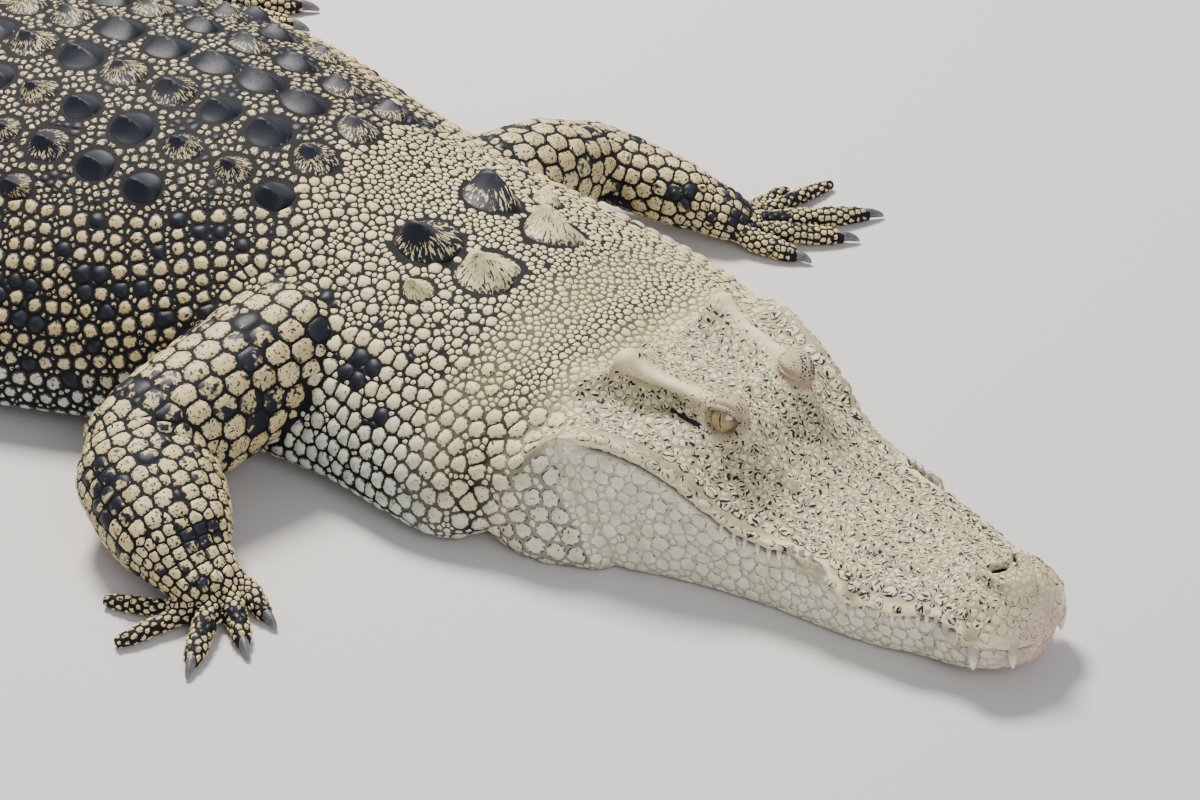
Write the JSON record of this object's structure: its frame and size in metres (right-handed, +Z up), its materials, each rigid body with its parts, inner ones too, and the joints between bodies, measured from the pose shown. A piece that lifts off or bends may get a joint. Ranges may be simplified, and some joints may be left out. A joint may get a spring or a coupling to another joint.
{
  "type": "saltwater crocodile",
  "caption": "Life-size saltwater crocodile lying on its belly, head and neck turned a little to its right, legs spread, tail in a gentle curve.",
  "frame": {"origin": "on the floor under the middle of the whole animal's bounding box", "axes": "+X forward along the trunk, from tail to head, +Y to the animal's left, +Z up from the floor"},
  "size_m": [3.5144, 1.3834, 0.288],
  "materials": {
    "skin": "scaly hide, dry, half matt",
    "claw": "horn, half matt",
    "eye": "wet, glossy, opaque model eye"
  },
  "bodies": {
    "root": {"head": "skin", "lower_jaw": "skin", "neck": "skin", "trunk": "skin", "tail_length_1": "skin", "tail_length_2": "skin", "tail_length_3": "skin", "tail_length_4": "skin", "tail_length_5": "skin", "right_upper_arm": "skin", "right_forearm": "skin", "right_hand": "skin", "right_thigh": "skin", "right_shank": "skin", "right_foot": "skin", "left_upper_arm": "skin", "left_forearm": "skin", "left_hand": "skin", "left_thigh": "skin", "left_shank": "skin", "left_foot": "skin", "right_fore_claw_1": "claw", "right_fore_claw_2": "claw", "right_fore_claw_3": "claw", "right_hind_claw_1": "claw", "right_hind_claw_2": "claw", "right_hind_claw_3": "claw", "left_fore_claw_1": "claw", "left_fore_claw_2": "claw", "left_fore_claw_3": "claw", "left_hind_claw_1": "claw", "left_hind_claw_2": "claw", "left_hind_claw_3": "claw", "right_eye": "eye", "left_eye": "eye"}
  },
  "joints": []
}
